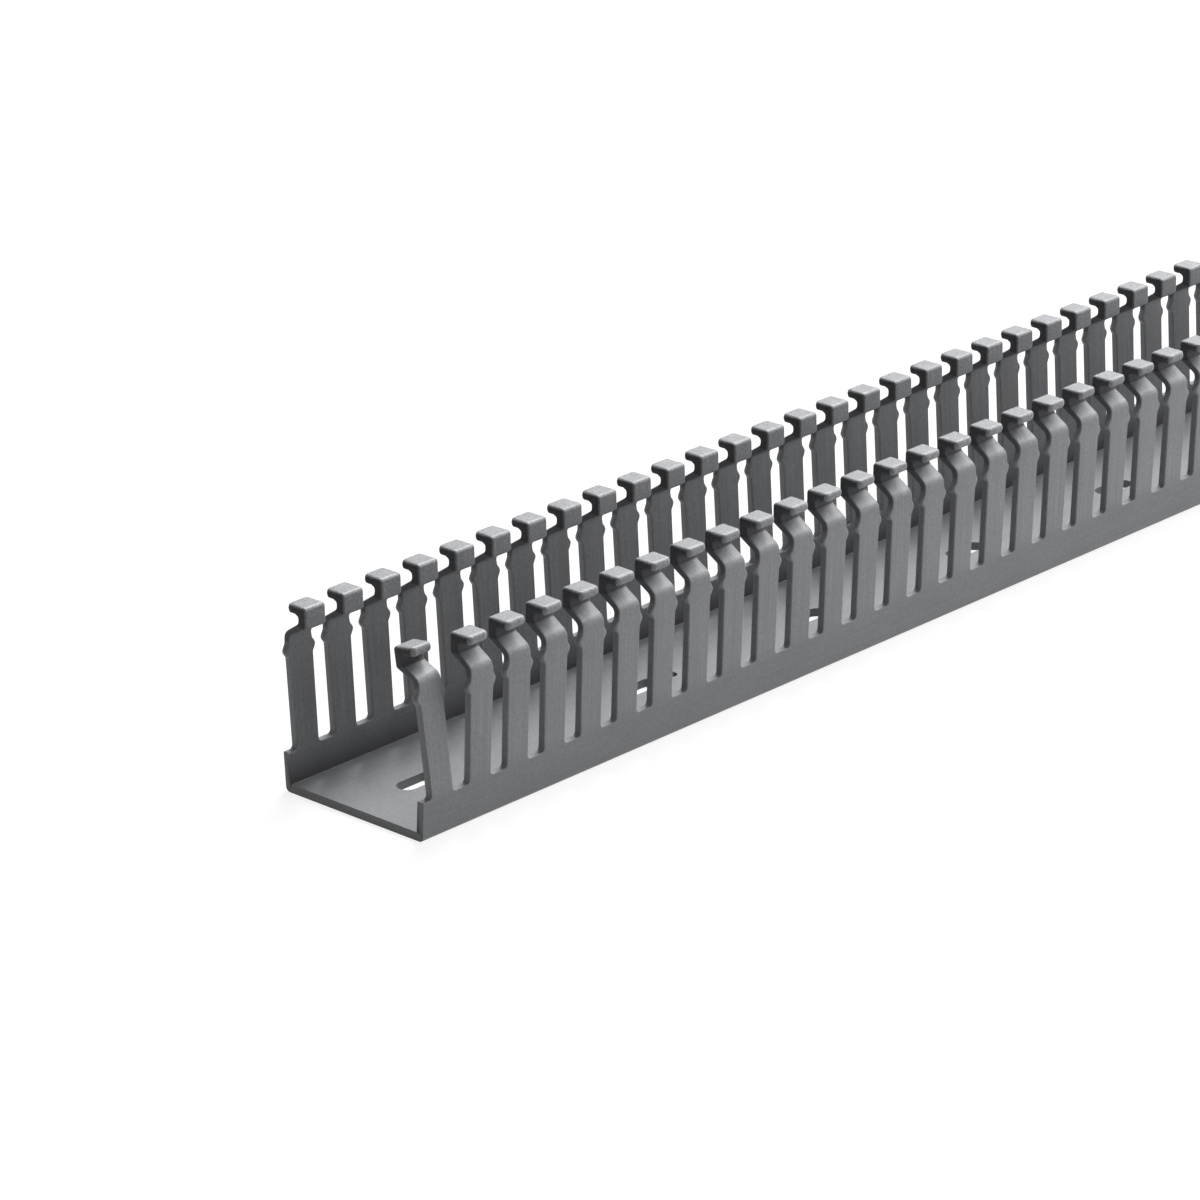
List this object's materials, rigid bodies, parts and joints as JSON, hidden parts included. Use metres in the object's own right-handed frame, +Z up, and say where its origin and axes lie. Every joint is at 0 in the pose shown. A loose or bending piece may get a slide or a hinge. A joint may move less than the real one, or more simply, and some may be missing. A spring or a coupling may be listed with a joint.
{
  "type": "slotted wire duct",
  "caption": "Open slotted wire duct: a rigid plastic U channel whose side walls are combs of snap-headed fingers, with a slotted flat base for panel mounting.",
  "frame": {"origin": "middle of the length, on the centre line of the flat underside", "axes": "+X along the duct away from the end with the bent finger, +Y across it to the straight back wall, +Z up out of the open mouth"},
  "size_m": [1, 0.0492, 0.0466],
  "materials": {
    "duct_plastic": "satin grey rigid PVC, faint extrusion streaks"
  },
  "bodies": {
    "root": {"wire_duct": "duct_plastic"}
  },
  "joints": []
}
